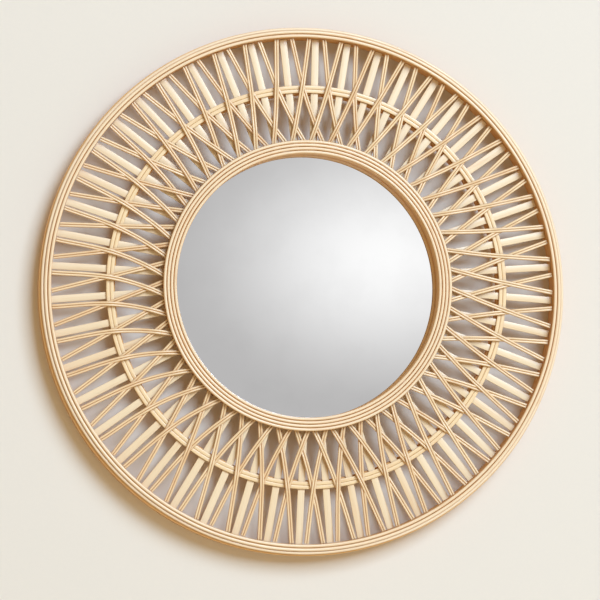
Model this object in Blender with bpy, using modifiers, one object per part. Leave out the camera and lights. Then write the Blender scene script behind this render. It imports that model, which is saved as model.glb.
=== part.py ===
"""Round wall mirror in an open frame of woven cane.

The frame is laid out flat on its back, with its height above the wall along +Z and its top along +Y.
An empty then stands it up, so that the wall is the plane Y = 0, the mirror faces -Y and +Z is up.
All lengths are in metres and all angles in degrees.
"""

import math

import bmesh
import bpy
from mathutils import Matrix, Vector

# Clearance between pieces that touch
GAP = 0.0003

# Outer rim: a deep hoop with three round strands wrapped over its front edge and a wall of canes inside
RIM_RADIUS = 0.3065
RIM_HOOP_WALL = 0.0033
RIM_STRAND_INSET = 0.0015
RIM_STRAND_RADIUS = 0.0020
RIM_ROLL = 35.0
RIM_BACK_FOOT = 0.0030

# Ring around the opening: four round strands on a hoop that stands on the glass
RING_RADIUS = 0.1685
RING_STRAND_RADIUS = 0.00185
RING_HOOP_WALL = 0.0030
RING_PROUD = 0.0020
RING_SHIFT_RIGHT = 0.0035
RING_SHIFT_UP = 0.0050

# Middle ring: two flat strands side by side in front of the slats
MIDDLE_RADIUS = 0.2297
MIDDLE_STRAND_WIDTH = 0.0042
MIDDLE_STRAND_THICKNESS = 0.0022
MIDDLE_SHIFT_RIGHT = 0.0043
MIDDLE_SHIFT_UP = 0.0043

# Back hoops behind the slats
BACK_HOOP_FOOT = 0.0045
BACK_HOOP_TOP = 0.0172
BACK_HOOP_WALL = 0.0043
MIDDLE_BACK_INSET = 0.0019
RING_BACK_INSET = 0.0017

# Flat radial slats, in four groups that are each joined by their own length of the middle back hoop
SLAT_COUNT = 48
SLAT_GROUPS = ("right", "top", "left", "bottom")
SLAT_WIDTH = 0.0086
SLAT_THICKNESS = 0.0020
SLAT_OUTER_GAP = 0.0006
SLAT_INNER_GAP = 0.0008
SLAT_BITE = 0.0002

# Crossing rods, each a pair of thin canes laid side by side; places and turns are in slat pitches
ROD_PAIR_WIDTH = 0.0054
ROD_THICKNESS = 0.0024
ROD_BITE = 0.0002
ROD_RIM_GAP = 0.0016
ROD_RING_BEARING = 0.0020
LOWER_ROD_START = -0.25
LOWER_ROD_TURN = -1.23
UPPER_ROD_START = 0.22
UPPER_ROD_TURN = 0.98

# Spacing by hand: waves round the ring as (waves per turn, swing, direction of the crest)
FIRST_SLAT_ANGLE = 4.9
SPACING_WAVES = ((1, 1.0, -27.0), (2, 0.9, 125.0), (3, 0.75, 5.0))

# Glass and the board behind it
BOARD_THICKNESS = 0.0075
GLASS_THICKNESS = 0.0030
GLASS_EDGE_GAP = 0.0025

# Hanging slot cut in the back of the board
KEYHOLE_RISE = 0.105
KEYHOLE_HEAD_RADIUS = 0.0045
KEYHOLE_SLOT_RADIUS = 0.0023
KEYHOLE_SLOT_LENGTH = 0.0130
KEYHOLE_DEPTH = 0.0040

# Facets round each ring
RIM_SIDES = 48
RING_SIDES = 36
GROUP_SIDES = 9
STRAND_SIDES = 6
KEYHOLE_SIDES = 12

# Heights above the wall, from the back to the front
SLAT_FLOOR = BACK_HOOP_TOP + GAP
MIDDLE_STRAND_FLOOR = SLAT_FLOOR + SLAT_THICKNESS + GAP
LOWER_ROD_FLOOR = MIDDLE_STRAND_FLOOR + MIDDLE_STRAND_THICKNESS + GAP
UPPER_ROD_FLOOR = LOWER_ROD_FLOOR + ROD_THICKNESS - ROD_BITE
ROD_TOP = UPPER_ROD_FLOOR + ROD_THICKNESS
GLASS_FLOOR = BOARD_THICKNESS + GAP
GLASS_TOP = GLASS_FLOOR + GLASS_THICKNESS

# Places of the rim's strands and hoop
RIM_STRAND_PITCH = 2 * RIM_STRAND_RADIUS + GAP
RIM_STRAND_HEIGHT = ROD_TOP + GAP + RIM_STRAND_RADIUS
RIM_OUTER_RADIUS = RIM_RADIUS - RIM_STRAND_INSET - RIM_STRAND_RADIUS
RIM_OUTER_HEIGHT = RIM_STRAND_HEIGHT - RIM_STRAND_PITCH * math.sin(math.radians(RIM_ROLL))
RIM_MIDDLE_RADIUS = RIM_OUTER_RADIUS - RIM_STRAND_PITCH * math.cos(math.radians(RIM_ROLL))
RIM_INNER_RADIUS = RIM_MIDDLE_RADIUS - RIM_STRAND_PITCH
RIM_HOOP_TOP = RIM_OUTER_HEIGHT - RIM_STRAND_RADIUS - GAP
RIM_HOOP_INNER = RIM_RADIUS - RIM_HOOP_WALL
RIM_BACK_TOP = RIM_STRAND_HEIGHT - RIM_STRAND_RADIUS - GAP

# Places of the inner ring's strands and hoop
RING_STRAND_PITCH = 2 * RING_STRAND_RADIUS + GAP
RING_STRAND_HEIGHT = ROD_TOP + GAP + RING_PROUD + RING_STRAND_RADIUS
RING_STRAND_RADII = [RING_RADIUS - RING_STRAND_RADIUS - k * RING_STRAND_PITCH for k in range(4)]
RING_HOOP_INNER = RING_STRAND_RADII[-1] - RING_STRAND_RADIUS + GAP
RING_HOOP_OUTER = RING_HOOP_INNER + RING_HOOP_WALL
RING_HOOP_TOP = RING_STRAND_HEIGHT - RING_STRAND_RADIUS - GAP

# Places of the back hoops, by their inner faces
RIM_BACK_INNER = RIM_INNER_RADIUS - RIM_STRAND_RADIUS
MIDDLE_BACK_INNER = MIDDLE_RADIUS - MIDDLE_STRAND_WIDTH - GAP / 2 - MIDDLE_BACK_INSET
RING_BACK_INNER = RING_RADIUS - RING_BACK_INSET - BACK_HOOP_WALL
BOARD_RADIUS = RING_BACK_INNER + BACK_HOOP_WALL
GLASS_RADIUS = RING_BACK_INNER - GLASS_EDGE_GAP

RING_CENTRE = Vector((RING_SHIFT_RIGHT, RING_SHIFT_UP, 0.0))
MIDDLE_CENTRE = Vector((MIDDLE_SHIFT_RIGHT, MIDDLE_SHIFT_UP, 0.0))
RIM_CENTRE = Vector((0.0, 0.0, 0.0))

# Colour, roughness and metallic value of each material
MATERIALS = {
    "cane_strand": ((0.78, 0.57, 0.35), 0.42, 0.0),
    "cane_hoop": ((0.62, 0.42, 0.23), 0.50, 0.0),
    "cane_slat": ((0.83, 0.66, 0.45), 0.50, 0.0),
    "cane_rod": ((0.80, 0.60, 0.37), 0.42, 0.0),
    "silvered_glass": ((0.86, 0.88, 0.88), 0.02, 1.0),
    "backing_board": ((0.42, 0.28, 0.17), 0.75, 0.0),
}


def clear_scene():
    """Remove every object of the starting scene."""
    for obj in list(bpy.data.objects):
        bpy.data.objects.remove(obj, do_unlink=True)


def make_materials():
    """Make one plain Principled material for each entry of MATERIALS."""
    made = {}
    for name, (colour, roughness, metallic) in MATERIALS.items():
        material = bpy.data.materials.new(name)
        material.use_nodes = True
        shader = material.node_tree.nodes["Principled BSDF"]
        shader.inputs["Base Color"].default_value = (*colour, 1.0)
        shader.inputs["Roughness"].default_value = roughness
        shader.inputs["Metallic"].default_value = metallic
        made[name] = material
    return made


def make_collections():
    """Make the collection of the pieces and the one of the helpers that shape them."""
    pieces = bpy.data.collections.new("wall_mirror")
    helpers = bpy.data.collections.new("wall_mirror_helpers")
    bpy.context.scene.collection.children.link(pieces)
    bpy.context.scene.collection.children.link(helpers)
    return pieces, helpers


def place(obj, collection, parent, material=None):
    """Move an object to a collection, hang it on the empty and give it its material."""
    for old in list(obj.users_collection):
        old.objects.unlink(obj)
    collection.objects.link(obj)
    obj.parent = parent
    if material is not None:
        obj.data.materials.clear()
        obj.data.materials.append(material)
    return obj


def hide_helper(obj):
    """Mark an object as a helper that shapes another one."""
    obj.hide_render = True
    obj.display_type = "WIRE"
    return obj


def facet_reach(radius, sides):
    """Distance from the centre to the middle of a facet of a faceted circle."""
    return radius * math.cos(math.pi / sides)


def spacing(place_in_pitches):
    """Angle of a place round the frame, counted in slat pitches, with the spacing by hand."""
    even = 360.0 / SLAT_COUNT * place_in_pitches
    swing = sum(size * math.cos(math.radians(waves * even - crest)) for waves, size, crest in SPACING_WAVES)
    return math.radians(FIRST_SLAT_ANGLE + even + swing)


def on_circle(centre, radius, angle):
    """Point on a flat circle."""
    return centre + Vector((radius * math.cos(angle), radius * math.sin(angle), 0.0))


def add_bar(mesh, start, end, floor, width, thickness):
    """Add a straight flat bar between two points of the plan."""
    along = end - start
    turn = Matrix.Rotation(math.atan2(along.y, along.x), 4, "Z")
    size = Matrix.Diagonal((along.length, width, thickness, 1.0))
    middle = (start + end) / 2 + Vector((0.0, 0.0, floor + thickness / 2))
    bmesh.ops.create_cube(mesh, size=1.0, matrix=Matrix.Translation(middle) @ turn @ size)


def object_from_bars(name, bars):
    """Make one mesh object of bars, each given as the values that add_bar takes."""
    mesh = bmesh.new()
    for bar in bars:
        add_bar(mesh, *bar)
    data = bpy.data.meshes.new(name)
    mesh.to_mesh(data)
    mesh.free()
    return bpy.data.objects.new(name, data)


def turned_hoop(name, centre, inner, wall, floor, top, sides):
    """Turn a hoop of rectangular section, its profile running down the outer side."""
    outer = inner + wall
    mesh = bmesh.new()
    corners = [(outer, top), (outer, floor), (inner, floor), (inner, top)]
    points = [mesh.verts.new((radius, 0.0, height)) for radius, height in corners]
    for first, second in zip(points, points[1:] + points[:1]):
        mesh.edges.new((first, second))
    data = bpy.data.meshes.new(name)
    mesh.to_mesh(data)
    mesh.free()
    obj = bpy.data.objects.new(name, data)
    obj.location = centre
    screw = obj.modifiers.new("turn", "SCREW")
    screw.axis = "Z"
    screw.angle = 2 * math.pi
    screw.steps = sides
    screw.render_steps = sides
    screw.use_merge_vertices = True
    screw.merge_threshold = 0.00001
    screw.use_smooth_shade = False
    return obj


def hoop_length(name, centre, inner, wall, floor, top, start, end):
    """Make the length of a hoop of rectangular section between two angles."""
    angles = [start + (end - start) * step / GROUP_SIDES for step in range(GROUP_SIDES + 1)]
    plan = [on_circle(centre, inner + wall, angle) for angle in angles]
    plan += [on_circle(centre, inner, angle) for angle in reversed(angles)]
    mesh = bmesh.new()
    base = mesh.faces.new([mesh.verts.new((point.x, point.y, floor)) for point in plan])
    raised = bmesh.ops.extrude_face_region(mesh, geom=[base])["geom"]
    corners = [part for part in raised if isinstance(part, bmesh.types.BMVert)]
    bmesh.ops.translate(mesh, vec=(0.0, 0.0, top - floor), verts=corners)
    bmesh.ops.recalc_face_normals(mesh, faces=mesh.faces)
    data = bpy.data.meshes.new(name)
    mesh.to_mesh(data)
    mesh.free()
    return bpy.data.objects.new(name, data)


def round_strand(name, centre, radius, height, strand_radius, sides):
    """Bend one round strand into a closed ring."""
    bpy.ops.mesh.primitive_torus_add(
        major_radius=radius,
        minor_radius=strand_radius,
        major_segments=sides,
        minor_segments=STRAND_SIDES,
        location=centre + Vector((0.0, 0.0, height)),
    )
    obj = bpy.context.object
    obj.name = name
    obj.data.shade_smooth()
    return obj


def round_plate(name, centre, radius, floor, thickness, sides):
    """Make a flat round plate."""
    bpy.ops.mesh.primitive_cylinder_add(
        vertices=sides,
        radius=radius,
        depth=thickness,
        location=centre + Vector((0.0, 0.0, floor + thickness / 2)),
    )
    obj = bpy.context.object
    obj.name = name
    return obj


def join_with(obj, other, operation):
    """Add a Boolean modifier with the exact solver."""
    boolean = obj.modifiers.new(operation.lower(), "BOOLEAN")
    boolean.operation = operation
    boolean.solver = "EXACT"
    boolean.object = other


def slat_bars(slats):
    """Bars of radial slats, from the ring's hoop to the rim's inner wall."""
    inner = RING_HOOP_OUTER + SLAT_INNER_GAP
    outer = facet_reach(RIM_BACK_INNER, RIM_SIDES) - SLAT_OUTER_GAP
    bars = []
    for slat in slats:
        angle = spacing(slat)
        start = on_circle(RING_CENTRE, inner, angle)
        end = on_circle(RIM_CENTRE, outer, angle)
        bars.append((start, end, SLAT_FLOOR, SLAT_WIDTH, SLAT_THICKNESS))
    return bars


def rod_bars(first_place, turn, floor):
    """Bars of one family of crossing rods, from the rim to the ring."""
    outer = facet_reach(RIM_BACK_INNER, RIM_SIDES) - ROD_RIM_GAP
    inner = RING_RADIUS - ROD_RING_BEARING
    bars = []
    for rod in range(SLAT_COUNT):
        start = on_circle(RIM_CENTRE, outer, spacing(rod + first_place))
        end = on_circle(RING_CENTRE, inner, spacing(rod + first_place + turn))
        bars.append((start, end, floor, ROD_PAIR_WIDTH, ROD_THICKNESS))
    return bars


def build_rim(pieces, parent, materials):
    """Hoop, three front strands and back hoop of the rim."""
    hoop = turned_hoop("rim_hoop", RIM_CENTRE, RIM_HOOP_INNER, RIM_HOOP_WALL, 0.0, RIM_HOOP_TOP, RIM_SIDES)
    place(hoop, pieces, parent, materials["cane_hoop"])
    strands = (
        ("rim_strand_outer", RIM_OUTER_RADIUS, RIM_OUTER_HEIGHT),
        ("rim_strand_middle", RIM_MIDDLE_RADIUS, RIM_STRAND_HEIGHT),
        ("rim_strand_inner", RIM_INNER_RADIUS, RIM_STRAND_HEIGHT),
    )
    for name, radius, height in strands:
        strand = round_strand(name, RIM_CENTRE, radius, height, RIM_STRAND_RADIUS, RIM_SIDES)
        place(strand, pieces, parent, materials["cane_strand"])
    back = turned_hoop(
        "rim_back_hoop", RIM_CENTRE, RIM_BACK_INNER, BACK_HOOP_WALL, RIM_BACK_FOOT, RIM_BACK_TOP, RIM_SIDES
    )
    place(back, pieces, parent, materials["cane_hoop"])


def build_ring(pieces, parent, materials):
    """Four strands, hoop and back hoop of the ring around the glass."""
    for number, radius in enumerate(RING_STRAND_RADII, start=1):
        strand = round_strand(
            f"ring_strand_{number}", RING_CENTRE, radius, RING_STRAND_HEIGHT, RING_STRAND_RADIUS, RING_SIDES
        )
        place(strand, pieces, parent, materials["cane_strand"])
    hoop = turned_hoop(
        "ring_hoop", RING_CENTRE, RING_HOOP_INNER, RING_HOOP_WALL, GLASS_TOP + GAP, RING_HOOP_TOP, RING_SIDES
    )
    place(hoop, pieces, parent, materials["cane_hoop"])
    back = turned_hoop(
        "ring_back_hoop",
        RING_CENTRE,
        RING_BACK_INNER,
        BACK_HOOP_WALL,
        BOARD_THICKNESS + GAP,
        BACK_HOOP_TOP,
        RING_SIDES,
    )
    place(back, pieces, parent, materials["cane_hoop"])


def build_middle(pieces, parent, materials):
    """Two flat front strands of the middle ring."""
    top = MIDDLE_STRAND_FLOOR + MIDDLE_STRAND_THICKNESS
    inner_faces = {
        "middle_strand_outer": MIDDLE_RADIUS + GAP / 2,
        "middle_strand_inner": MIDDLE_RADIUS - GAP / 2 - MIDDLE_STRAND_WIDTH,
    }
    for name, inner in inner_faces.items():
        strand = turned_hoop(
            name, MIDDLE_CENTRE, inner, MIDDLE_STRAND_WIDTH, MIDDLE_STRAND_FLOOR, top, RING_SIDES
        )
        place(strand, pieces, parent, materials["cane_strand"])


def build_slats(pieces, helpers, parent, materials):
    """Groups of slats, each joined to the length of back hoop that it crosses half way."""
    group_size = SLAT_COUNT // len(SLAT_GROUPS)
    end_gap = GAP / MIDDLE_RADIUS
    for number, name in enumerate(SLAT_GROUPS):
        first = number * group_size - group_size // 2
        slats = object_from_bars(f"slats_{name}", slat_bars(range(first, first + group_size)))
        place(slats, pieces, parent, materials["cane_slat"])
        back = hoop_length(
            f"middle_back_hoop_{name}",
            MIDDLE_CENTRE,
            MIDDLE_BACK_INNER,
            BACK_HOOP_WALL,
            BACK_HOOP_FOOT,
            SLAT_FLOOR + SLAT_BITE,
            spacing(first - 0.5),
            spacing(first + group_size - 0.5) - end_gap,
        )
        place(hide_helper(back), helpers, parent, materials["cane_slat"])
        join_with(slats, back, "UNION")


def build_rods(pieces, helpers, parent, materials):
    """Both families of crossing rods, joined where they press on each other."""
    lower = object_from_bars("crossing_rods", rod_bars(LOWER_ROD_START, LOWER_ROD_TURN, LOWER_ROD_FLOOR))
    upper = object_from_bars("upper_rods", rod_bars(UPPER_ROD_START, UPPER_ROD_TURN, UPPER_ROD_FLOOR))
    place(lower, pieces, parent, materials["cane_rod"])
    place(hide_helper(upper), helpers, parent, materials["cane_rod"])
    join_with(lower, upper, "UNION")


def build_glass(pieces, helpers, parent, materials):
    """Mirror glass and the board behind it, with a hanging slot in the board's back."""
    glass = round_plate("mirror_glass", RING_CENTRE, GLASS_RADIUS, GLASS_FLOOR, GLASS_THICKNESS, RIM_SIDES)
    place(glass, pieces, parent, materials["silvered_glass"])
    board = round_plate("backing_board", RING_CENTRE, BOARD_RADIUS, 0.0, BOARD_THICKNESS, RIM_SIDES)
    place(board, pieces, parent, materials["backing_board"])
    head = RING_CENTRE + Vector((0.0, KEYHOLE_RISE, 0.0))
    end = head + Vector((0.0, KEYHOLE_SLOT_LENGTH, 0.0))
    head_cut = round_plate(
        "keyhole_head", head, KEYHOLE_HEAD_RADIUS, -KEYHOLE_DEPTH, 2 * KEYHOLE_DEPTH, KEYHOLE_SIDES
    )
    end_cut = round_plate(
        "keyhole_end", end, KEYHOLE_SLOT_RADIUS, -KEYHOLE_DEPTH, 2 * KEYHOLE_DEPTH, KEYHOLE_SIDES
    )
    slot = (head, end, -KEYHOLE_DEPTH, 2 * KEYHOLE_SLOT_RADIUS, 2 * KEYHOLE_DEPTH)
    slot_cut = object_from_bars("keyhole_slot", [slot])
    for cut in (head_cut, slot_cut, end_cut):
        place(hide_helper(cut), helpers, parent)
        join_with(board, cut, "DIFFERENCE")


def main():
    """Build the mirror and stand it up against the wall."""
    clear_scene()
    materials = make_materials()
    pieces, helpers = make_collections()
    upright = bpy.data.objects.new("wall_mirror", None)
    pieces.objects.link(upright)
    build_rim(pieces, upright, materials)
    build_ring(pieces, upright, materials)
    build_middle(pieces, upright, materials)
    build_slats(pieces, helpers, upright, materials)
    build_rods(pieces, helpers, upright, materials)
    build_glass(pieces, helpers, upright, materials)
    upright.rotation_euler = (math.pi / 2, 0.0, 0.0)
    bpy.context.view_layer.update()


main()
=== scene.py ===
"""Dressed model of a round wall mirror in a wide open frame of woven cane.

Lengths are in metres. The weave is laid out flat, as (right, up, height above the wall), and each
finished mesh is stood up so that the wall is the plane Y = 0, the mirror faces -Y and +Z is up.
"""

import logging
import math
from dataclasses import dataclass, field
from enum import Enum
from typing import Any

import bpy
import numpy as np
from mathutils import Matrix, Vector


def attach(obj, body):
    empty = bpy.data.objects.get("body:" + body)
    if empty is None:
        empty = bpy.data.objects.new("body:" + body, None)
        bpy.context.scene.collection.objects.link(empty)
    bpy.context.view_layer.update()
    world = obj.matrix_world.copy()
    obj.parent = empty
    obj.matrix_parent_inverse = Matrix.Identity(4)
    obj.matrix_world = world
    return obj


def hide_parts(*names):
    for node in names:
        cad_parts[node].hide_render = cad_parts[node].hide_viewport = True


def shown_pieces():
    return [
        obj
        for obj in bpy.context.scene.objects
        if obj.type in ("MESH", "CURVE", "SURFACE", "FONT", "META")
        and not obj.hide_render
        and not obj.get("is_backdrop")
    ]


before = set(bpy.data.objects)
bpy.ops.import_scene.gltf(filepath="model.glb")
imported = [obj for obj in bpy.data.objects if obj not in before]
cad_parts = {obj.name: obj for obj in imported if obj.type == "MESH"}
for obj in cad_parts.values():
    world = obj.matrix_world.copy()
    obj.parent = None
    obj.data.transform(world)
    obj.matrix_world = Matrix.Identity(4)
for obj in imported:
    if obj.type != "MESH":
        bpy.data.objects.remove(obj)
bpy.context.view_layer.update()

LOG = logging.getLogger("wall_mirror")

# Clearance between the canes of a stack
STACK_GAP = 0.00005

# Edges sharper than this, in degrees, are shaded as edges
SHARP_EDGE = 42.0

# Painted shade: brown of a cane's side towards the wall, its belly
BELLY = "#A06A30"

# A cane's tone is mostly its own and partly painted shade by its place, palest towards the light in this
# direction in degrees
OWN_SHARE = 0.75
PAINTED_SHADE_SHARE = 0.25
PALEST_PLACE = 20.0

# Centres of the rim, of the ring round the glass, of the middle ring and of the hoop round the side,
# which drifted apart as the frame was woven
RIM_CENTRE = np.array((0.0, 0.0))
RING_CENTRE = np.array((0.0035, 0.0050))
MIDDLE_CENTRE = np.array((0.0043, 0.0043))
SIDE_HOOP_CENTRE = np.array((-0.0005, -0.0005))

# Places counted in slat pitches, with the spacing by hand as (waves per turn, swing, crest) in degrees
SLAT_COUNT = 48
FIRST_SLAT_ANGLE = 4.9
SPACING_WAVES = ((1, 1.0, -27.0), (2, 0.9, 125.0), (3, 0.75, 5.0))


class Section(Enum):
    """Cross-section of a length of cane."""

    ROUND = "round"
    FLAT = "flat"


class Slot(Enum):
    """Material slots of the record."""

    STRAND = "cane_strand"
    HOOP = "cane_hoop"
    SLAT = "cane_slat"
    ROD = "cane_rod"
    GLASS = "silvered_glass"
    BOARD = "backing_board"


def linear(colour: str) -> tuple[float, float, float, float]:
    """Turn an sRGB hex colour into linear RGBA.

    Args:
        colour: Six hex digits with a leading hash sign.

    Returns:
        The linear colour with alpha 1.
    """
    parts = [int(colour[i : i + 2], 16) / 255 for i in (1, 3, 5)]
    straight = [p / 12.92 if p <= 0.04045 else ((p + 0.055) / 1.055) ** 2.4 for p in parts]
    return (*straight, 1.0)


def add_node(
    tree: bpy.types.NodeTree, kind: str, inputs: dict[str | int, Any] | None = None, **settings: Any
) -> bpy.types.Node:
    """Add a node with its settings, input values and incoming links.

    Args:
        tree: Tree that takes the node.
        kind: Type name of the node.
        inputs: Values or output sockets by the input's name or number.
        **settings: Properties of the node.

    Returns:
        The new node.
    """
    node = tree.nodes.new(kind)
    for name, value in settings.items():
        setattr(node, name, value)
    for key, value in (inputs or {}).items():
        socket = node.inputs[key]
        if isinstance(value, bpy.types.NodeSocket):
            tree.links.new(value, socket)
        else:
            socket.default_value = value
    return node


def ramp(
    tree: bpy.types.NodeTree,
    value: bpy.types.NodeSocket,
    low: float,
    high: float,
    to_low: float = 0.0,
    to_high: float = 1.0,
) -> bpy.types.NodeSocket:
    """Map a range of a value smoothly to another range.

    Args:
        tree: Tree that takes the node.
        value: Value to map.
        low: Lower end of the range.
        high: Upper end of the range.
        to_low: Result at the lower end.
        to_high: Result at the upper end.

    Returns:
        The mapped value.
    """
    inputs = {"Value": value, "From Min": low, "From Max": high, "To Min": to_low, "To Max": to_high}
    return add_node(tree, "ShaderNodeMapRange", inputs, interpolation_type="SMOOTHSTEP").outputs[0]


def blend_colour(tree: bpy.types.NodeTree, share: Any, first: Any, second: Any) -> bpy.types.NodeSocket:
    """Mix two colours.

    Args:
        tree: Tree that takes the node.
        share: Share of the second colour, a number or a socket.
        first: First colour or socket.
        second: Second colour or socket.

    Returns:
        The mixed colour.
    """
    return add_node(tree, "ShaderNodeMix", {0: share, 6: first, 7: second}, data_type="RGBA").outputs[2]


def fine_noise(tree: bpy.types.NodeTree, place: Any, per_metre: float, detail: float) -> bpy.types.NodeSocket:
    """Noise with features of one size in every direction.

    Args:
        tree: Tree that takes the node.
        place: Place on the object in metres.
        per_metre: Number of features on a metre.
        detail: Octaves of the noise.

    Returns:
        The noise value.
    """
    inputs = {"Vector": place, "Scale": per_metre, "Detail": detail}
    return add_node(tree, "ShaderNodeTexNoise", inputs).outputs[0]


def lengthwise_noise(
    tree: bpy.types.NodeTree, grain: bpy.types.NodeSocket, along_mm: float, across_mm: float, detail: float
) -> bpy.types.NodeSocket:
    """Noise that is drawn out along the cane.

    Args:
        tree: Tree that takes the nodes.
        grain: Place along and across the cane.
        along_mm: Length of a feature.
        across_mm: Width of a feature.
        detail: Octaves of the noise.

    Returns:
        The noise value.
    """
    scale = (1000.0 / along_mm, 1000.0 / across_mm, 1000.0 / across_mm)
    stretched = add_node(tree, "ShaderNodeVectorMath", {0: grain, 1: scale}, operation="MULTIPLY")
    inputs = {"Vector": stretched.outputs[0], "Scale": 1.0, "Detail": detail, "Roughness": 0.6}
    return add_node(tree, "ShaderNodeTexNoise", inputs).outputs[0]


def add_relief(
    tree: bpy.types.NodeTree, shader: bpy.types.Node, height: Any, strength: float, depth: float
) -> None:
    """Give a shader a fine relief.

    Args:
        tree: Tree that takes the node.
        shader: Shader of the material.
        height: Pattern of the relief.
        strength: Strength of the relief.
        depth: Depth of the relief in metres.
    """
    bump = add_node(tree, "ShaderNodeBump", {"Strength": strength, "Distance": depth, "Height": height})
    tree.links.new(bump.outputs[0], shader.inputs["Normal"])


def new_material(name: str) -> tuple[bpy.types.Material, bpy.types.NodeTree, bpy.types.Node]:
    """Make a material with a Principled shader.

    Args:
        name: Name of the material.

    Returns:
        The material, its tree and its shader.
    """
    material = bpy.data.materials.new(name)
    material.use_nodes = True
    tree = material.node_tree
    return material, tree, tree.nodes["Principled BSDF"]


@dataclass(frozen=True)
class CaneFinish:
    """Peeled cane with a thin clear varnish and fine lengthwise fibres, with painted highlight and shade.

    The pattern follows each length of cane through its own attribute, which holds the distance along
    the cane and the place in its cross-section, in metres. By that place, light and shade are painted:
    the crest that faces the room is pale, the flanks are darker as the shade between the canes, and the
    belly towards the wall is darkest.
    """

    name: str
    pale: str
    honey: str
    deep: str
    crest: float
    flank: float
    belly: float
    fibre_mm: float = 0.8
    fibre_share: float = 0.2
    stain_mm: float = 35.0
    stain_share: float = 0.3
    tone_share: float = 0.3
    roughness: float = 0.33
    coat: float = 0.4
    relief: float = 0.25

    def material(self) -> bpy.types.Material:
        """Build the material.

        Returns:
            The cane material.
        """
        material, tree, shader = new_material(self.name)
        grain = add_node(tree, "ShaderNodeAttribute", attribute_name="grain").outputs["Vector"]
        tone = add_node(tree, "ShaderNodeAttribute", attribute_name="tone").outputs["Fac"]
        height = add_node(tree, "ShaderNodeSeparateXYZ", {0: grain}).outputs["Z"]
        # Fibres are about a millimetre wide and run on for about 60 mm, and stains are about 4 mm wide
        fibres = lengthwise_noise(tree, grain, 60.0, self.fibre_mm, 3.0)
        stains = lengthwise_noise(tree, grain, self.stain_mm, 4.0, 2.0)
        pale, honey, deep = linear(self.pale), linear(self.honey), linear(self.deep)
        # Painted light and shade: pale at the crest, honey down the flanks
        colour = blend_colour(tree, ramp(tree, height, self.crest, self.flank), pale, honey)
        colour = blend_colour(tree, ramp(tree, fibres, 0.46, 0.72, 0.0, self.fibre_share), colour, honey)
        colour = blend_colour(tree, ramp(tree, stains, 0.55, 0.78, 0.0, self.stain_share), colour, honey)
        # The tone is the cane's own and, on slats and rods, partly painted shade by its place round the frame
        age_and_painted_shade = add_node(tree, "ShaderNodeMath", {0: tone, 1: self.tone_share}, operation="MULTIPLY").outputs[0]
        colour = blend_colour(tree, age_and_painted_shade, colour, honey)
        # Painted shade: darkest on the belly towards the wall
        colour = blend_colour(tree, ramp(tree, height, self.flank, self.belly), colour, deep)
        tree.links.new(colour, shader.inputs["Base Color"])
        # The varnish is duller where it sank into the fibres
        rough = ramp(tree, fibres, 0.3, 0.75, self.roughness - 0.05, self.roughness + 0.12)
        tree.links.new(rough, shader.inputs["Roughness"])
        shader.inputs["Coat Weight"].default_value = self.coat
        shader.inputs["Coat Roughness"].default_value = 0.22
        add_relief(tree, shader, fibres, self.relief, 0.00018)
        return material


@dataclass(frozen=True)
class Finishes:
    """Finishes of the five kinds of cane, with light and shade painted from the crest that faces the room to
    the belly at the wall.
    """

    # Round strands: glossy crests painted pale and flanks painted honey as shade, so that each strand reads
    # as a ridge
    strand: CaneFinish = CaneFinish(
        "varnished_cane_strand",
        "#F8E2BB",
        "#DA974A",
        BELLY,
        crest=0.0017,
        flank=0.0003,
        belly=-0.0014,
        roughness=0.38,
    )
    # Split strands: flat and ridged by their fibres, with the brightest varnish
    flat_strand: CaneFinish = CaneFinish(
        "split_cane_strand",
        "#F8DCAA",
        "#D69549",
        BELLY,
        crest=0.0010,
        flank=0.0000,
        belly=-0.0008,
        relief=0.4,
        fibre_share=0.3,
        roughness=0.3,
        coat=0.5,
    )
    # Hoops and stacks: deeper honey, and drier as they were varnished least, with painted shade from the
    # front edge towards the wall
    hoop: CaneFinish = CaneFinish(
        "varnished_cane_hoop",
        "#F4C681",
        "#D69346",
        BELLY,
        crest=0.012,
        flank=-0.010,
        belly=-0.04,
        coat=0.15,
        fibre_share=0.4,
        stain_share=0.45,
    )
    # Slats: the palest cane, with long faint stains along the grain
    slat: CaneFinish = CaneFinish(
        "split_cane_slat",
        "#F8E3B9",
        "#DFA55B",
        BELLY,
        crest=0.0010,
        flank=0.0000,
        belly=-0.0008,
        fibre_mm=1.0,
        stain_mm=70.0,
        roughness=0.36,
    )
    # Rods: thin and round, painted pale on top and painted honey as shade where two lie side by side
    rod: CaneFinish = CaneFinish(
        "varnished_cane_rod", "#F8DEB0", "#CB863B", BELLY, crest=0.0012, flank=0.0002, belly=-0.0010
    )


@dataclass(frozen=True)
class GlassFinish:
    """Silvered float glass: a flat clean mirror with a faint haze of wiped dust."""

    name: str = "silvered_float_glass"
    silver: str = "#FCFCFC"
    haze: str = "#F9F9F9"

    def material(self) -> bpy.types.Material:
        """Build the material.

        Returns:
            The mirror material.
        """
        material, tree, shader = new_material(self.name)
        place = add_node(tree, "ShaderNodeTexCoord").outputs["Object"]
        # Wiping marks are about 40 mm across
        wiped = fine_noise(tree, place, 25.0, 3.0)
        colour = blend_colour(tree, ramp(tree, wiped, 0.4, 0.7), linear(self.silver), linear(self.haze))
        tree.links.new(colour, shader.inputs["Base Color"])
        tree.links.new(ramp(tree, wiped, 0.35, 0.75, 0.004, 0.008), shader.inputs["Roughness"])
        shader.inputs["Metallic"].default_value = 1.0
        return material


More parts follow.
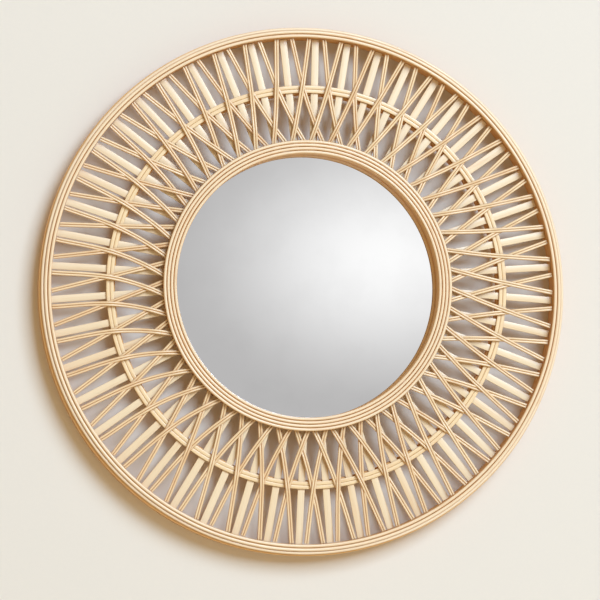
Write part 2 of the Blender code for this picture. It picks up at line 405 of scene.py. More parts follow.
@dataclass(frozen=True)
class BoardFinish:
    """Hardboard back: matt brown pressed fibre with fine flecks."""

    name: str = "pressed_fibreboard"
    brown: str = "#B8946A"
    fleck: str = "#94704A"

    def material(self) -> bpy.types.Material:
        """Build the material.

        Returns:
            The board material.
        """
        material, tree, shader = new_material(self.name)
        place = add_node(tree, "ShaderNodeTexCoord").outputs["Object"]
        # Pressed fibres are about 1.5 mm long, and the press leaves shades about 30 mm across
        flecks = fine_noise(tree, place, 650.0, 4.0)
        shades = fine_noise(tree, place, 33.0, 2.0)
        colour = blend_colour(tree, ramp(tree, flecks, 0.42, 0.66), linear(self.brown), linear(self.fleck))
        colour = blend_colour(tree, ramp(tree, shades, 0.4, 0.8, 0.0, 0.4), colour, linear(self.fleck))
        tree.links.new(colour, shader.inputs["Base Color"])
        shader.inputs["Roughness"].default_value = 0.78
        add_relief(tree, shader, flecks, 0.35, 0.0003)
        return material


@dataclass
class Cane:
    """Centre line of one length of cane, laid out flat."""

    points: np.ndarray
    tone: float
    start: float
    swell: np.ndarray | None = None


@dataclass
class CaneBundle:
    """Lengths of cane with one cross-section, swept by Geometry Nodes into one mesh."""

    name: str
    canes: list[Cane]
    section: Section
    width: float
    finish: bpy.types.Material
    thickness: float = 0.0
    rounding: float = 0.0
    sides: int = 16
    closed: bool = False

    def build(self) -> bpy.types.Object:
        """Sweep the canes and turn the result into a plain mesh.

        Returns:
            The finished object.
        """
        tree = sweep_tree(self.section)
        piece = bpy.data.objects.new(self.name, self.paths())
        bpy.context.scene.collection.objects.link(piece)
        sweep = piece.modifiers.new("sweep", "NODES")
        sweep.node_group = tree
        values = {
            "Width": self.width,
            "Thickness": self.thickness,
            "Rounding": self.rounding,
            "Sides": self.sides,
            "Capped": not self.closed,
            "Finish": self.finish,
        }
        for item in tree.interface.items_tree:
            if item.in_out == "INPUT" and item.name in values:
                sweep[item.identifier] = values[item.name]
        graph = bpy.context.evaluated_depsgraph_get()
        swept = piece.evaluated_get(graph)
        mesh = bpy.data.meshes.new_from_object(swept, preserve_all_data_layers=True, depsgraph=graph)
        piece.modifiers.remove(sweep)
        piece.data = mesh
        mesh.name = self.name
        for spare in ("along", "section", "start", "swell"):
            if spare in mesh.attributes:
                mesh.attributes.remove(mesh.attributes[spare])
        if signed_volume(mesh) < 0:
            mesh.flip_normals()
        mesh.shade_smooth()
        mesh.set_sharp_from_angle(angle=math.radians(SHARP_EDGE))
        return piece

    def paths(self) -> bpy.types.Mesh:
        """Lay the centre lines out as a mesh of edges.

        Returns:
            The mesh, with the tone, start and swell of each cane on its points.
        """
        points, edges, tones, starts, swells = [], [], [], [], []
        for cane in self.canes:
            first = sum(len(p) for p in points)
            count = len(cane.points)
            points.append(cane.points)
            edges += [(first + i, first + i + 1) for i in range(count - 1)]
            tones.append(np.full(count, cane.tone))
            starts.append(np.full(count, cane.start))
            swells.append(np.ones(count) if cane.swell is None else cane.swell)
        mesh = bpy.data.meshes.new(f"{self.name}_paths")
        mesh.from_pydata(np.concatenate(points).tolist(), edges, [])
        for name, values in (("tone", tones), ("start", starts), ("swell", swells)):
            layer = mesh.attributes.new(name, "FLOAT", "POINT")
            layer.data.foreach_set("value", np.concatenate(values).astype(np.float32))
        return mesh


def signed_volume(mesh: bpy.types.Mesh) -> float:
    """Volume of a closed mesh, negative where its faces point inwards.

    Args:
        mesh: Mesh to measure.

    Returns:
        The volume in cubic metres.
    """
    mesh.calc_loop_triangles()
    corners = np.zeros(len(mesh.vertices) * 3)
    mesh.vertices.foreach_get("co", corners)
    faces = np.zeros(len(mesh.loop_triangles) * 3, np.int32)
    mesh.loop_triangles.foreach_get("vertices", faces)
    a, b, c = corners.reshape(-1, 3)[faces.reshape(-1, 3)].transpose(1, 0, 2)
    return float(np.einsum("ij,ij->i", a, np.cross(b, c)).sum() / 6)


def store(
    tree: bpy.types.NodeTree, geometry: Any, name: str, value: Any, kind: str = "FLOAT", domain: str = "POINT"
) -> bpy.types.NodeSocket:
    """Store a value on a geometry.

    Args:
        tree: Tree that takes the node.
        geometry: Geometry socket.
        name: Name of the attribute.
        value: Value socket.
        kind: Data type of the attribute.
        domain: Domain that holds it.

    Returns:
        The geometry with its new attribute.
    """
    inputs = {"Geometry": geometry, "Name": name, "Value": value}
    return add_node(tree, "GeometryNodeStoreNamedAttribute", inputs, data_type=kind, domain=domain).outputs[0]


def recall(tree: bpy.types.NodeTree, name: str, kind: str = "FLOAT") -> bpy.types.NodeSocket:
    """Read a value that was stored on a geometry.

    Args:
        tree: Tree that takes the node.
        name: Name of the attribute.
        kind: Data type of the attribute.

    Returns:
        The value.
    """
    return add_node(tree, "GeometryNodeInputNamedAttribute", {"Name": name}, data_type=kind).outputs[0]


def sweep_tree(section: Section) -> bpy.types.NodeTree:
    """Geometry Nodes tree that sweeps a cross-section along every path and stands the result up.

    Args:
        section: Cross-section of the canes.

    Returns:
        The tree, made once for each section.
    """
    name = f"{section.value}_cane_along_paths"
    if name in bpy.data.node_groups:
        return bpy.data.node_groups[name]
    tree = bpy.data.node_groups.new(name, "GeometryNodeTree")
    tree.is_modifier = True
    for label, kind in (
        ("Paths", "NodeSocketGeometry"),
        ("Width", "NodeSocketFloat"),
        ("Thickness", "NodeSocketFloat"),
        ("Rounding", "NodeSocketFloat"),
        ("Sides", "NodeSocketInt"),
        ("Capped", "NodeSocketBool"),
        ("Finish", "NodeSocketMaterial"),
    ):
        tree.interface.new_socket(label, in_out="INPUT", socket_type=kind)
    tree.interface.new_socket("Canes", in_out="OUTPUT", socket_type="NodeSocketGeometry")
    given = add_node(tree, "NodeGroupInput").outputs

    curve = add_node(tree, "GeometryNodeMeshToCurve", {"Mesh": given["Paths"]})
    upright = add_node(tree, "GeometryNodeSetCurveNormal", {"Curve": curve.outputs[0]}, mode="Z_UP")
    length = add_node(tree, "GeometryNodeSplineParameter").outputs["Length"]
    start = recall(tree, "start")
    along = add_node(tree, "ShaderNodeMath", {0: length, 1: start}, operation="ADD").outputs[0]
    measured = store(tree, upright.outputs[0], "along", along)

    if section is Section.ROUND:
        half = add_node(tree, "ShaderNodeMath", {0: given["Width"], 1: 0.5}, operation="MULTIPLY").outputs[0]
        circle = {"Resolution": given["Sides"], "Radius": half}
        outline = add_node(tree, "GeometryNodeCurvePrimitiveCircle", circle, mode="RADIUS")
    else:
        sides = {"Width": given["Width"], "Height": given["Thickness"]}
        square = add_node(tree, "GeometryNodeCurvePrimitiveQuadrilateral", sides, mode="RECTANGLE")
        corners = {"Curve": square.outputs[0], "Count": given["Sides"], "Radius": given["Rounding"]}
        outline = add_node(tree, "GeometryNodeFilletCurve", corners, mode="POLY")
    place = add_node(tree, "GeometryNodeInputPosition").outputs[0]
    profile = store(tree, outline.outputs[0], "section", place, "FLOAT_VECTOR")

    swell = recall(tree, "swell")
    sweep = {"Curve": measured, "Profile Curve": profile, "Scale": swell, "Fill Caps": given["Capped"]}
    swept = add_node(tree, "GeometryNodeCurveToMesh", sweep)
    parts = add_node(tree, "ShaderNodeSeparateXYZ", {0: recall(tree, "section", "FLOAT_VECTOR")}).outputs
    # The outline's own Y axis points at the wall, so the height is its opposite
    height = add_node(tree, "ShaderNodeMath", {0: parts["Y"], 1: -1.0}, operation="MULTIPLY").outputs[0]
    places = {"X": recall(tree, "along"), "Y": parts["X"], "Z": height}
    grain = add_node(tree, "ShaderNodeCombineXYZ", places).outputs[0]
    marked = store(tree, swept.outputs[0], "grain", grain, "FLOAT_VECTOR", "CORNER")
    # A ring's two ends meet here, after the grain is stored, so that the pattern starts afresh at the joint
    joined = add_node(tree, "GeometryNodeMergeByDistance", {"Geometry": marked, "Distance": 0.0001})
    stand_up = {"Geometry": joined.outputs[0], "Rotation": (math.pi / 2, 0.0, 0.0)}
    stood = add_node(tree, "GeometryNodeTransform", stand_up)
    real = add_node(tree, "GeometryNodeRealizeInstances", {"Geometry": stood.outputs[0]})
    coat = {"Geometry": real.outputs[0], "Material": given["Finish"]}
    dressed = add_node(tree, "GeometryNodeSetMaterial", coat)
    add_node(tree, "NodeGroupOutput", {"Canes": dressed.outputs[0]})
    return tree


def spacing(place: float) -> float:
    """Angle of a place round the frame, with the spacing by hand.

    Args:
        place: Place counted in slat pitches.

    Returns:
        The angle in radians, counter-clockwise from the right.
    """
    even = 360.0 / SLAT_COUNT * place
    swing = sum(size * math.cos(math.radians(waves * even - crest)) for waves, size, crest in SPACING_WAVES)
    return math.radians(FIRST_SLAT_ANGLE + even + swing)


def on_circle(centre: np.ndarray, radius: float, angle: float) -> np.ndarray:
    """Point of the plan on a circle.

    Args:
        centre: Centre of the circle.
        radius: Its radius.
        angle: Direction of the point in radians.

    Returns:
        The point as (right, up).
    """
    return centre + radius * np.array((math.cos(angle), math.sin(angle)))


@dataclass
class RingOfCane:
    """One cane bent into a ring, with the slight waves that bending by hand leaves."""

    centre: np.ndarray
    radius: float
    height: float
    joint: float
    seed: int
    steps: int = 240
    wander: float = 0.00018

    def cane(self, tone: float) -> Cane:
        """Centre line of the ring.

        Args:
            tone: How dark the cane is, from 0 to 1.

        Returns:
            The cane, whose two ends meet at the joint.
        """
        chance = np.random.RandomState(self.seed)
        turn = np.linspace(0.0, 2 * math.pi, self.steps + 1)
        angle = math.radians(self.joint) + turn
        wave = np.zeros_like(turn)
        for waves in (3, 5, 8, 13):
            size = chance.uniform(0.3, 1.0)
            wave += size * np.sin(waves * turn + chance.uniform(0.0, 6.3))
        wave /= np.abs(wave).max()
        radius = self.radius - self.wander * (0.5 + 0.5 * wave)
        right = self.centre[0] + radius * np.cos(angle)
        up = self.centre[1] + radius * np.sin(angle)
        points = np.stack((right, up, np.full(self.steps + 1, self.height)), axis=1)
        points[-1] = points[0]
        return Cane(points, tone, chance.uniform(0.0, 5.0))


def tone_with_painted_shade(angle: float, own: float) -> float:
    """Tone of a cane with painted shade by its place: those at the left and below, away from the light, are
    painted a little more honey.

    Args:
        angle: Direction of the cane from the centre, in radians.
        own: The cane's own tone, from 0 to 1.

    Returns:
        The tone, from 0 to 1.
    """
    painted_shade = 0.5 - 0.5 * math.cos(angle - math.radians(PALEST_PLACE))
    return OWN_SHARE * own + PAINTED_SHADE_SHARE * painted_shade


def mount(piece: bpy.types.Object, slot: Slot, *nodes: str) -> bpy.types.Object:
    """Let a piece stand for nodes of the solids and report it.

    Args:
        piece: Finished piece.
        slot: Material slot of its finish; not used.
        *nodes: Nodes that it replaces.

    Returns:
        The same piece.
    """
    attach(piece, "root")
    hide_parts(*nodes)
    mesh = piece.data
    LOG.info("%s: %d triangles", piece.name, sum(len(p.vertices) - 2 for p in mesh.polygons))
    return piece


@dataclass
class Rim:
    """Outer rim: a deep hoop, three round strands over its front edge and a wall of stacked canes inside."""

    strand: bpy.types.Material
    hoop: bpy.types.Material
    hoop_radius: float = 0.3060
    hoop_wall: float = 0.0033
    hoop_top: float = 0.024434
    strand_radius: float = 0.0020
    strand_places: tuple[tuple[str, float, float, float], ...] = (
        ("outer", 0.3030, 0.026734, 95.0),
        ("middle", 0.299478, 0.0292, 212.0),
        ("inner", 0.295178, 0.0292, 318.0),
    )
    back_inner: float = 0.293178
    back_foot: float = 0.0030
    back_top: float = 0.0269
    back_layers: int = 6
    hoop_rounding: float = 0.0012

    def build(self) -> list[bpy.types.Object]:
        """Build and place every piece of the rim.

        Returns:
            The pieces.
        """
        return [*self.strands(), self.outer_hoop(), self.back_stack()]

    def strands(self) -> list[bpy.types.Object]:
        """Three strands, each replacing its node.

        Returns:
            The strands, from the outside in.
        """
        made = []
        for number, (name, radius, height, joint) in enumerate(self.strand_places):
            ring = RingOfCane(RIM_CENTRE, radius, height, joint, seed=11 + number, steps=288, wander=0.00012)
            cane = ring.cane(0.15 + 0.1 * number)
            names = (f"rim_cane_{name}", f"rim_strand_{name}")
            made.append(round_strand(*names, cane, self.strand_radius, self.strand))
        return made

    def outer_hoop(self) -> bpy.types.Object:
        """Smooth hoop that closes the side of the rim.

        Returns:
            The hoop.
        """
        middle = self.hoop_radius - self.hoop_wall / 2
        ring = RingOfCane(SIDE_HOOP_CENTRE, middle, self.hoop_top / 2, 250.0, seed=21, steps=288, wander=0.0)
        size = (self.hoop_wall, self.hoop_top, self.hoop_rounding)
        return flat_hoop("rim_side_hoop", "rim_hoop", ring.cane(0.3), size, self.hoop)

    def back_stack(self) -> bpy.types.Object:
        """Wall of stacked canes against which the slats and rods end.

        Returns:
            The stack.
        """
        pile = Stack(RIM_CENTRE, self.back_inner, self.back_foot, self.back_top, self.back_layers, seed=31)
        return pile.build("rim_back_canes", self.hoop, "rim_back_hoop")


def round_strand(
    name: str, node: str, cane: Cane, radius: float, finish: bpy.types.Material
) -> bpy.types.Object:
    """Closed ring of round cane that replaces one node.

    Args:
        name: Name of the piece.
        node: Node that it replaces.
        cane: Its centre line.
        radius: Radius of the cane.
        finish: Material of the cane.

    Returns:
        The finished piece.
    """
    bundle = CaneBundle(name, [cane], Section.ROUND, 2 * radius, finish, sides=20, closed=True)
    return mount(bundle.build(), Slot.STRAND, node)


def flat_hoop(
    name: str, node: str, cane: Cane, size: tuple[float, float, float], finish: bpy.types.Material
) -> bpy.types.Object:
    """Closed hoop of flat cane that stands on its edge and replaces one node.

    Args:
        name: Name of the piece.
        node: Node that it replaces.
        cane: Its centre line.
        size: Thickness of its wall, its height and the rounding of its corners.
        finish: Material of the cane.

    Returns:
        The finished piece.
    """
    wall, height, rounding = size
    bundle = CaneBundle(
        name, [cane], Section.FLAT, wall, finish, thickness=height, rounding=rounding, sides=3, closed=True
    )
    return mount(bundle.build(), Slot.HOOP, node)


@dataclass
class Stack:
    """Hoop made of round canes stacked on each other, from its foot to its top."""

    centre: np.ndarray
    inner: float
    foot: float
    top: float
    layers: int
    seed: int

    def build(self, name: str, finish: bpy.types.Material, *nodes: str) -> bpy.types.Object:
        """Build and place the stack.

        Args:
            name: Name of the piece.
            finish: Material of the canes.
            *nodes: Nodes that it replaces.

        Returns:
            The finished piece.
        """
        pitch = (self.top - self.foot) / self.layers
        width = pitch - STACK_GAP
        radius = self.inner + width / 2 + 2 * STACK_GAP
        canes = []
        for layer in range(self.layers):
            height = self.foot + pitch * (layer + 0.5)
            # The joints are staggered, and every second cane is a little darker
            joint = 70.0 + 83.0 * layer
            ring = RingOfCane(self.centre, radius, height, joint, seed=self.seed + layer, wander=0.0)
            canes.append(ring.cane(0.35 + 0.18 * (layer % 2)))
        bundle = CaneBundle(name, canes, Section.ROUND, width, finish, sides=14, closed=True)
        return mount(bundle.build(), Slot.HOOP, *nodes)


@dataclass
class Ring:
    """Ring round the glass: four round strands in front, a hoop that holds the glass and a stack behind."""

    strand: bpy.types.Material
    hoop: bpy.types.Material
    strand_radius: float = 0.00185
    strand_height: float = 0.0308
    strand_radii: tuple[float, ...] = (0.16665, 0.16265, 0.15865, 0.15465)
    hoop_inner: float = 0.1531
    hoop_wall: float = 0.0030
    hoop_foot: float = 0.0111
    hoop_top: float = 0.0287
    hoop_rounding: float = 0.0008
    back_inner: float = 0.1635
    back_foot: float = 0.0078
    back_top: float = 0.0172
    back_layers: int = 3

    def build(self) -> list[bpy.types.Object]:
        """Build and place every piece of the ring.

        Returns:
            The pieces.
        """
        made = []
        for number, radius in enumerate(self.strand_radii, start=1):
            height, joint = self.strand_height, 40.0 + 97.0 * number
            ring = RingOfCane(RING_CENTRE, radius, height, joint, seed=40 + number, wander=0.00012)
            cane = ring.cane(0.08 + 0.06 * number)
            names = (f"ring_cane_{number}", f"ring_strand_{number}")
            made.append(round_strand(*names, cane, self.strand_radius, self.strand))
        made.append(self.glass_hoop())
        pile = Stack(RING_CENTRE, self.back_inner, self.back_foot, self.back_top, self.back_layers, seed=51)
        made.append(pile.build("ring_back_canes", self.hoop, "ring_back_hoop"))
        return made

    def glass_hoop(self) -> bpy.types.Object:
        """Hoop that stands on the edge of the glass.

        Returns:
            The hoop.
        """
        middle = (self.hoop_foot + self.hoop_top) / 2
        radius = self.hoop_inner + self.hoop_wall / 2
        ring = RingOfCane(RING_CENTRE, radius, middle, 300.0, seed=61, wander=0.0)
        size = (self.hoop_wall, self.hoop_top - self.hoop_foot, self.hoop_rounding)
        return flat_hoop("ring_glass_hoop", "ring_hoop", ring.cane(0.3), size, self.hoop)


@dataclass
class MiddleRing:
    """Two flat strands side by side in front of the slats."""

    strand: bpy.types.Material
    width: float = 0.0044
    thickness: float = 0.0022
    rounding: float = 0.0009
    height: float = 0.0209
    radii: dict[str, float] = field(default_factory=lambda: {"inner": 0.22745, "outer": 0.23195})

    def build(self) -> list[bpy.types.Object]:
        """Build and place both strands.

        Returns:
            The pieces.
        """
        made = []
        for number, (name, radius) in enumerate(self.radii.items()):
            joint = 15.0 + 160.0 * number
            ring = RingOfCane(MIDDLE_CENTRE, radius, self.height, joint, seed=70 + number, wander=0.0001)
            bundle = CaneBundle(
                f"middle_cane_{name}",
                [ring.cane(0.05 + 0.1 * number)],
                Section.FLAT,
                self.width,
                self.strand,
                thickness=self.thickness,
                rounding=self.rounding,
                sides=4,
                closed=True,
            )
            made.append(mount(bundle.build(), Slot.STRAND, f"middle_strand_{name}"))
        return made


@dataclass
class Slats:
    """Flat radial slats of split cane, nailed to a stack of canes half way."""

    slat: bpy.types.Material
    hoop: bpy.types.Material
    width: float = 0.0086
    thickness: float = 0.0020
    height: float = 0.0185
    inner_radius: float = 0.1569
    outer_radius: float = 0.2926
    rounding: float = 0.0005
    steps: int = 9
    back_inner: float = 0.22345
    back_foot: float = 0.0045
    back_top: float = 0.0174
    back_layers: int = 4
    nodes: tuple[str, ...] = ("slats_right", "slats_top", "slats_left", "slats_bottom")

    def build(self) -> list[bpy.types.Object]:
        """Build and place the slats and the stack of canes behind them.

        Returns:
            The pieces.
        """
        chance = np.random.RandomState(5)
        canes = []
        for slat in range(SLAT_COUNT):
            angle = spacing(slat)
            inner = on_circle(RING_CENTRE, self.inner_radius, angle)
            outer = on_circle(RIM_CENTRE, self.outer_radius, angle)
            share = np.linspace(0.0, 1.0, self.steps)[:, None]
            plan = inner + (outer - inner) * share
            points = np.hstack((plan, np.full((self.steps, 1), self.height)))
            # Split by hand: most slats narrow a little towards the ring
            taper = chance.uniform(-0.10, 0.02)
            swell = 1.0 - chance.uniform(0.0, 0.04) + taper * (1.0 - share[:, 0])
            tone = tone_with_painted_shade(angle, chance.beta(1.6, 3.2))
            canes.append(Cane(points, tone, chance.uniform(0.0, 9.0), swell))
        bundle = CaneBundle(
            "radial_slats",
            canes,
            Section.FLAT,
            self.width,
            self.slat,
            thickness=self.thickness,
            rounding=self.rounding,
            sides=3,
        )
        slats = mount(bundle.build(), Slot.SLAT, *self.nodes)
        pile = Stack(MIDDLE_CENTRE, self.back_inner, self.back_foot, self.back_top, self.back_layers, seed=81)
        return [slats, pile.build("middle_back_canes", self.hoop, *self.nodes)]


@dataclass(frozen=True)
class RodFamily:
    """Pairs of thin canes that all lean the same way.

    The start and turn are in slat pitches, and the bows in millimetres at every 45 degrees round the
    frame, counter-clockwise from the right.
    """

    name: str
    start: float
    turn: float
    bows: tuple[float, ...]

    def bow(self, angle: float) -> float:
        """How far a rod bows out of its straight line.

        Args:
            angle: Direction of its outer end, in radians.

        Returns:
            The bow in metres.
        """
        places = np.linspace(0.0, 360.0, len(self.bows), endpoint=False)
        return 0.001 * float(np.interp(math.degrees(angle) % 360.0, places, self.bows, period=360.0))


@dataclass
class RodNet:
    """Two families of paired canes that cross each other twice between the ring and the rim.

    At the slips, given in degrees, the weaver laid the lower family over the upper one. Crossings
    farther from the centre than the outer crossing's radius belong to the outer round.
    """

    rod: bpy.types.Material
    radius: float = 0.00137
    spread: float = 0.0014
    height: float = 0.02425
    lift: float = 0.00136
    lift_reach: float = 0.0095
    outer_radius: float = 0.2924
    inner_radius: float = 0.1668
    steps: int = 34
    meeting: float = 0.004
    outer_crossing: float = 0.22
    outer_slips: tuple[tuple[float, float], ...] = ((226.0, 268.0), (284.0, 294.0))
    inner_slips: tuple[float, ...] = (121.0, 142.0, 275.0, 282.0, 289.0)
    slip_reach: float = 3.0
    upper: RodFamily = RodFamily("upper", 0.22, 0.98, (1.5, 1.5, 1.5, 3.0, 8.0, 6.0, 3.0, 2.0))
    lower: RodFamily = RodFamily("lower", -0.25, -1.23, (1.5, 1.5, 4.0, 1.5, 0.0, 1.0, 3.0, 2.5))

    def build(self) -> list[bpy.types.Object]:
        """Lay both families, lift them where they cross and sweep them.

        Returns:
            The pieces.
        """
        upper = self.plans(self.upper)
        lower = self.plans(self.lower)
        upper_lift, lower_lift = self.crossings(upper, lower)
        made = []
        both = ((self.upper, upper, upper_lift, 91), (self.lower, lower, lower_lift, 97))
        for family, plans, lifts, seed in both:
            canes = self.pairs(plans, lifts, seed)
            name = f"crossing_rods_{family.name}"
            bundle = CaneBundle(name, canes, Section.ROUND, 2 * self.radius, self.rod, sides=12)
            made.append(mount(bundle.build(), Slot.ROD, "crossing_rods"))
        return made

    def plans(self, family: RodFamily) -> np.ndarray:
        """Centre lines of a family's pairs in plan.

        Args:
            family: The family of rods.

        Returns:
            Points as an array of rods by steps by two.
        """
        share = np.linspace(0.0, 1.0, self.steps)
        lines = []
        for rod in range(SLAT_COUNT):
            angle = spacing(rod + family.start)
            start = on_circle(RIM_CENTRE, self.outer_radius, angle)
            end = on_circle(RING_CENTRE, self.inner_radius, spacing(rod + family.start + family.turn))
            along = end - start
            aside = np.array((-along[1], along[0])) / np.linalg.norm(along)
            bend = family.bow(angle) * math.copysign(1.0, family.turn) * np.sin(math.pi * share**1.15)
            lines.append(start + along * share[:, None] + aside * bend[:, None])
        return np.array(lines)

    def crossings(self, upper: np.ndarray, lower: np.ndarray) -> tuple[np.ndarray, np.ndarray]:
        """Heights by which the rods rise and dip where they cross.

        Args:
            upper: Plans of the family that mostly passes over.
            lower: Plans of the other family.

        Returns:
            The lifts of both families, as arrays of rods by steps.
        """
        upper_lift = np.zeros(upper.shape[:2])
        lower_lift = np.zeros(lower.shape[:2])
        for rod in range(SLAT_COUNT):
            # A rod can meet only the next few of the other family, and isn't lifted at its very ends
            for other in range(rod, rod + 4):
                mate = other % SLAT_COUNT
                apart = np.linalg.norm(upper[rod][:, None] - lower[mate][None], axis=2)
                here, there = np.unravel_index(apart.argmin(), apart.shape)
                if apart.min() > self.meeting or min(here, there) < 2 or max(here, there) > self.steps - 3:
                    continue
                over = 1.0 if self.upper_is_over(upper[rod][here]) else -1.0
                upper_lift[rod] += over * self.hump(upper[rod], here)
                lower_lift[mate] -= over * self.hump(lower[mate], there)
        return upper_lift * self.lift, lower_lift * self.lift

    def hump(self, line: np.ndarray, at: int) -> np.ndarray:
        """Share of the full lift along a rod that is bent over another.

        Args:
            line: Plan of the rod.
            at: Step of the crossing.

        Returns:
            The share at every step, 1 at the crossing.
        """
        reach = np.linalg.norm(line - line[at], axis=1) / self.lift_reach
        return np.exp(-(reach**2))

    def upper_is_over(self, place: np.ndarray) -> bool:
        """Whether the upper family lies over the lower one at a crossing.

        Args:
            place: Plan of the crossing.

        Returns:
            True except where the weaver slipped to the other side.
        """
        angle = math.degrees(math.atan2(place[1], place[0])) % 360.0
        if np.linalg.norm(place) > self.outer_crossing:
            return not any(first < angle < last for first, last in self.outer_slips)
        return not any(abs(angle - slip) < self.slip_reach for slip in self.inner_slips)

    def pairs(self, plans: np.ndarray, lifts: np.ndarray, seed: int) -> list[Cane]:
        """Two canes side by side for each centre line.

        Args:
            plans: Centre lines in plan.
            lifts: Height added along each.
            seed: Seed of tones and small shifts.

        Returns:
            The canes.
        """
        chance = np.random.RandomState(seed)
        canes = []
        for plan, lift in zip(plans, lifts):
            run = np.gradient(plan, axis=0)
            aside = np.stack((-run[:, 1], run[:, 0]), axis=1) / np.linalg.norm(run, axis=1)[:, None]
            tone = tone_with_painted_shade(math.atan2(plan[0][1], plan[0][0]), chance.beta(1.5, 3.0))
            for side in (-1.0, 1.0):
                line = plan + aside * side * self.spread
                points = np.hstack((line, (self.height + lift)[:, None]))
                own = float(np.clip(tone + chance.uniform(-0.12, 0.12), 0, 1))
                canes.append(Cane(points, own, chance.uniform(0.0, 9.0)))
        return canes


@dataclass
class Mirror:
    """Silvered glass and the board behind it, which keep the shapes of the solids."""

    glass: bpy.types.Material
    board: bpy.types.Material

    def dress(self) -> None:
        """Give both nodes their finishes."""
        for node, finish in (("mirror_glass", self.glass), ("backing_board", self.board)):
            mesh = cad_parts[node].data
            mesh.materials.clear()
            mesh.materials.append(finish)
            LOG.info("%s dressed", node)


@dataclass(frozen=True)
class SoftLight:
    """Square soft light that looks at the mirror, its place and size in metres and its power in watts."""

    name: str
    place: tuple[float, float, float]
    size: float
    power: float
    colour: str

    def add(self) -> bpy.types.Object:
        """Add the light to the scene.

        Returns:
            The light.
        """
        data = bpy.data.lights.new(self.name, "AREA")
        data.size = self.size
        data.energy = self.power
        data.color = linear(self.colour)[:3]
        light = bpy.data.objects.new(self.name, data)
        light.location = self.place
        light.rotation_euler = (-Vector(self.place)).to_track_quat("-Z", "Y").to_euler()
        bpy.context.scene.collection.objects.link(light)
        return light


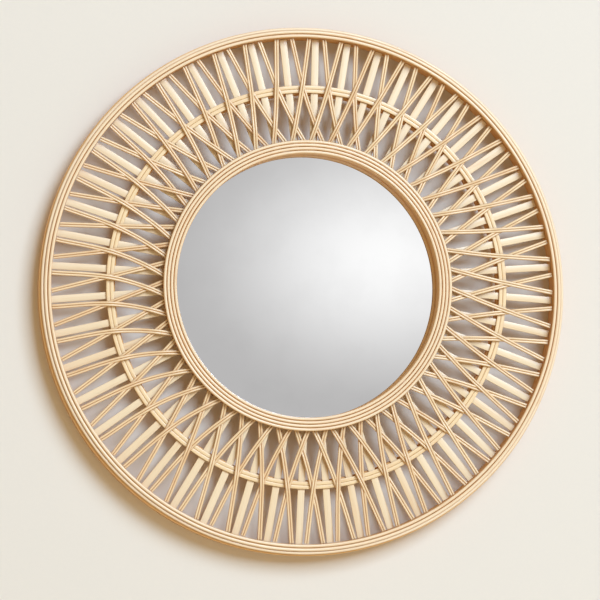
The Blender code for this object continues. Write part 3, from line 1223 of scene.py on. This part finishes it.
@dataclass
class Studio:
    """Pale wall and floor, soft light from the upper right and the camera.

    The sky is brightest in one direction, which the glass shows at its upper right. That direction's
    height is given after the sky was squeezed upright, which makes the bright patch wide and low.
    """

    target: Vector = field(default_factory=lambda: Vector((-0.0020, 0.0, -0.0100)))
    azimuth: float = -8.60
    elevation: float = -4.27
    distance: float = 3.66
    lens: float = 189.0
    wall_colour: str = "#E8E0D0"
    floor_colour: str = "#E0CDAA"
    roller_colour: str = "#D8D2C8"
    half_width: float = 3.0
    wall_gap: float = 0.0008
    wall_top: float = 3.0
    floor_height: float = -1.3
    floor_reach: float = 6.0
    sky_far: str = "#AA936C"
    sky_near: str = "#BBBABA"
    sky_bright: str = "#FFFFFF"
    sky_squeeze: tuple[float, float, float] = (1.0, 1.0, 1.4)
    bright_direction: tuple[float, float, float] = (0.176, -0.980, 0.123)
    bright_reach: float = 0.072
    far_start: float = 0.085
    far_end: float = 0.14
    soft_box: SoftLight = SoftLight("soft_box", (3.3, -6.8, 3.8), 4.6, 890.0, "#CAE1FF")
    back_light: SoftLight = SoftLight("back_light", (0.0, 6.0, 0.0), 0.3, 85.0, "#FFFEFC")

    def build(self) -> None:
        """Set up the stage, the lights and the camera."""
        self.planes()
        self.lights()
        self.world()
        self.camera()
        bpy.context.scene.view_settings.view_transform = "Standard"
        LOG.info("studio ready")

    def planes(self) -> None:
        """Wall just behind the mirror and floor well below it."""
        side, gap, low, top = self.half_width, self.wall_gap, self.floor_height, self.wall_top
        near, far = -self.floor_reach, self.floor_reach
        wall = [(-side, gap, low), (side, gap, low), (side, gap, top), (-side, gap, top)]
        floor = [(-side, near, low), (side, near, low), (side, far, low), (-side, far, low)]
        for name, corners, colour in (("wall", wall, self.wall_colour), ("floor", floor, self.floor_colour)):
            mesh = bpy.data.meshes.new(name)
            mesh.from_pydata(corners, [], [(0, 1, 2, 3)])
            mesh.materials.append(self.plaster(name, colour, see_through=name == "wall"))
            plane = bpy.data.objects.new(name, mesh)
            bpy.context.scene.collection.objects.link(plane)
            plane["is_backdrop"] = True

    def plaster(self, name: str, colour: str, see_through: bool) -> bpy.types.Material:
        """Matt paint.

        Args:
            name: Name of the plane.
            colour: Colour of the paint.
            see_through: Whether the plane is open from its back, so that the mirror's back can be looked at.

        Returns:
            The material.
        """
        material, tree, shader = new_material(f"painted_{name}")
        place = add_node(tree, "ShaderNodeTexCoord").outputs["Object"]
        # Roller marks are about 4 mm across
        roller = ramp(tree, fine_noise(tree, place, 250.0, 2.0), 0.3, 0.7, 0.0, 0.05)
        shaded = blend_colour(tree, roller, linear(colour), linear(self.roller_colour))
        tree.links.new(shaded, shader.inputs["Base Color"])
        shader.inputs["Roughness"].default_value = 0.9
        shader.inputs["Specular IOR Level"].default_value = 0.2
        if see_through:
            back = add_node(tree, "ShaderNodeNewGeometry").outputs["Backfacing"]
            clear = add_node(tree, "ShaderNodeBsdfTransparent").outputs[0]
            mixed = add_node(tree, "ShaderNodeMixShader", {0: back, 1: shader.outputs[0], 2: clear})
            tree.links.new(mixed.outputs[0], tree.nodes["Material Output"].inputs["Surface"])
        return material

    def lights(self) -> None:
        """Soft box at the upper right and a weak light for the mirror's back."""
        self.soft_box.add()
        back = self.back_light.add()
        back.visible_glossy = False
        lit = bpy.data.collections.new("lit_from_behind")
        blocking = bpy.data.collections.new("shading_the_back_light")
        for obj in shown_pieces():
            blocking.objects.link(obj)
            lit.objects.link(obj)
        back.light_linking.receiver_collection = lit
        back.light_linking.blocker_collection = blocking

    def world(self) -> None:
        """Even pale surroundings with a bright patch that the glass shows at its upper right."""
        world = bpy.data.worlds.new("pale_room")
        world.use_nodes = True
        tree = world.node_tree
        sky = tree.nodes["Background"]
        direction = add_node(tree, "ShaderNodeTexCoord").outputs["Generated"]
        squeeze = {0: direction, 1: self.sky_squeeze}
        flat = add_node(tree, "ShaderNodeVectorMath", squeeze, operation="MULTIPLY").outputs[0]
        aim = {0: flat, 1: self.bright_direction}
        away = add_node(tree, "ShaderNodeVectorMath", aim, operation="DISTANCE").outputs["Value"]
        bright, near, far = linear(self.sky_bright), linear(self.sky_near), linear(self.sky_far)
        colour = blend_colour(tree, ramp(tree, away, 0.0, self.bright_reach), bright, near)
        colour = blend_colour(tree, ramp(tree, away, self.far_start, self.far_end), colour, far)
        tree.links.new(colour, sky.inputs["Color"])
        sky.inputs["Strength"].default_value = 1.0
        bpy.context.scene.world = world

    def camera(self) -> None:
        """Camera at the photograph's viewing angle."""
        azimuth, elevation = math.radians(self.azimuth), math.radians(self.elevation)
        level = math.cos(elevation)
        away = Vector((math.sin(azimuth) * level, -math.cos(azimuth) * level, math.sin(elevation)))
        data = bpy.data.cameras.new("camera")
        data.lens = self.lens
        data.sensor_width = 36.0
        camera = bpy.data.objects.new("camera", data)
        camera.location = self.target + away * self.distance
        camera.rotation_euler = (-away).to_track_quat("-Z", "Y").to_euler()
        bpy.context.scene.collection.objects.link(camera)
        bpy.context.scene.camera = camera


def main() -> None:
    """Build every sub-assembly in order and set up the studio."""
    logging.basicConfig(level=logging.INFO, format="%(name)s %(message)s")
    finishes = Finishes()
    strand, flat_strand = finishes.strand.material(), finishes.flat_strand.material()
    hoop, slat, rod = finishes.hoop.material(), finishes.slat.material(), finishes.rod.material()

    pieces = [
        *Rim(strand, hoop).build(),
        *Ring(strand, hoop).build(),
        *MiddleRing(flat_strand).build(),
        *Slats(slat, hoop).build(),
        *RodNet(rod).build(),
    ]
    Mirror(GlassFinish().material(), BoardFinish().material()).dress()
    LOG.info("%d pieces", len(pieces))
    Studio().build()


if __name__ == "__main__":
    main()
